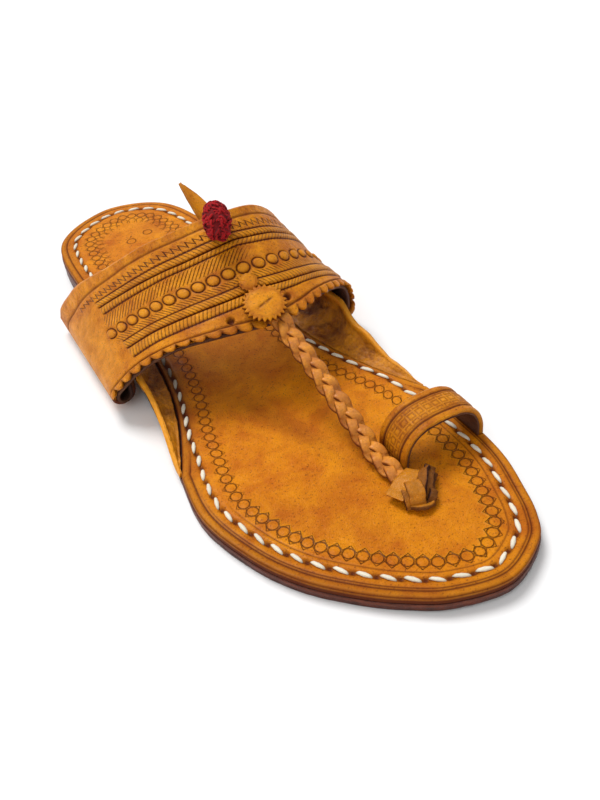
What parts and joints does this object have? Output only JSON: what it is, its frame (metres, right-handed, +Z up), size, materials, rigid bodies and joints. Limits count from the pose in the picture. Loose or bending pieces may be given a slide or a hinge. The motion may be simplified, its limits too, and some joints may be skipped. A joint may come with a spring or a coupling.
{
  "type": "kolhapuri sandal",
  "caption": "Flat open leather sandal with a wide stamped instep band, braided toe strap, toe ring and small wool pompom, for the right foot.",
  "frame": {"origin": "on the floor under the middle of the heel, 35 mm in front of the heel's back end", "axes": "+Z up, toe along -Y, inner (big toe) side along +X"},
  "size_m": [0.0991, 0.2596, 0.0614],
  "materials": {
    "tan_leather": "oiled vegetable-tanned leather, satin",
    "sole_edge_leather": "dark stained and burnished cut edge",
    "red_wool": "matt wool"
  },
  "bodies": {
    "root": {"heel_lift": "sole_edge_leather", "outsole": "sole_edge_leather", "insole": "tan_leather", "ear_lateral": "tan_leather", "ear_medial": "tan_leather", "upper": "tan_leather", "toe_ring": "tan_leather", "knot": "tan_leather", "rosette": "tan_leather", "leaf": "tan_leather", "pompom": "red_wool"}
  },
  "joints": []
}
